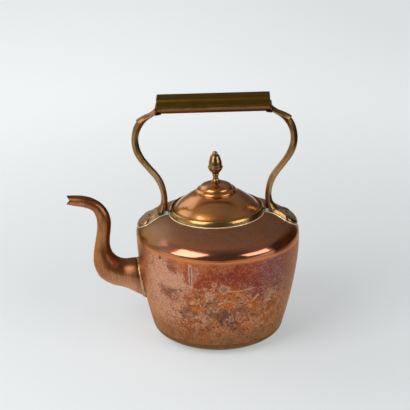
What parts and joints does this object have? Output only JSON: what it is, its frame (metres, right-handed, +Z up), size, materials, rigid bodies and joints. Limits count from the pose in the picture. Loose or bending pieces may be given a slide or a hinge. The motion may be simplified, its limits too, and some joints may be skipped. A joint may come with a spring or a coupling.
{
  "type": "stovetop kettle",
  "caption": "Round copper stovetop kettle with a gooseneck spout, a lift-off domed lid with an acorn finial, and a fixed brass swan-neck handle.",
  "frame": {"origin": "centre of the flat base, where the kettle stands", "axes": "+Z up; the spout points along -X; the handle lies in the XZ plane; -Y is the side that the picture shows"},
  "size_m": [0.267, 0.188, 0.2872],
  "materials": {
    "body_copper": "old copper: dark brown patina on the shoulder, mottled pink, orange and purple heat marks on the wall",
    "base_copper": "darkened copper, soot-stained",
    "spout_copper": "polished copper with a brown patina",
    "lid_copper": "polished copper with a golden brown patina",
    "old_brass": "cast brass with a golden brown patina and a little green in the corners",
    "grip_brass": "rolled brass with a dark olive-brown patina",
    "tinned_copper": "dull tinned copper"
  },
  "bodies": {
    "kettle": {"body_shell": "body_copper", "base_pan": "base_copper", "spout": "spout_copper", "spout_collar": "old_brass", "neck_ring": "old_brass", "left_upright": "old_brass", "right_upright": "old_brass", "grip_tube": "grip_brass", "rivet_left_front": "old_brass", "rivet_left_middle": "old_brass", "rivet_left_back": "old_brass", "rivet_right_front": "old_brass", "rivet_right_middle": "old_brass", "rivet_right_back": "old_brass"},
    "lid": {"lid_dome": "lid_copper", "lid_collar": "tinned_copper", "finial": "old_brass", "finial_washer": "old_brass", "finial_nut": "old_brass"}
  },
  "joints": [
    {"name": "lid_lift", "type": "slide", "parent": "kettle", "child": "lid", "axis": [-0.0314, 0, 0.9995], "range_m": [0, 0.043]}
  ]
}
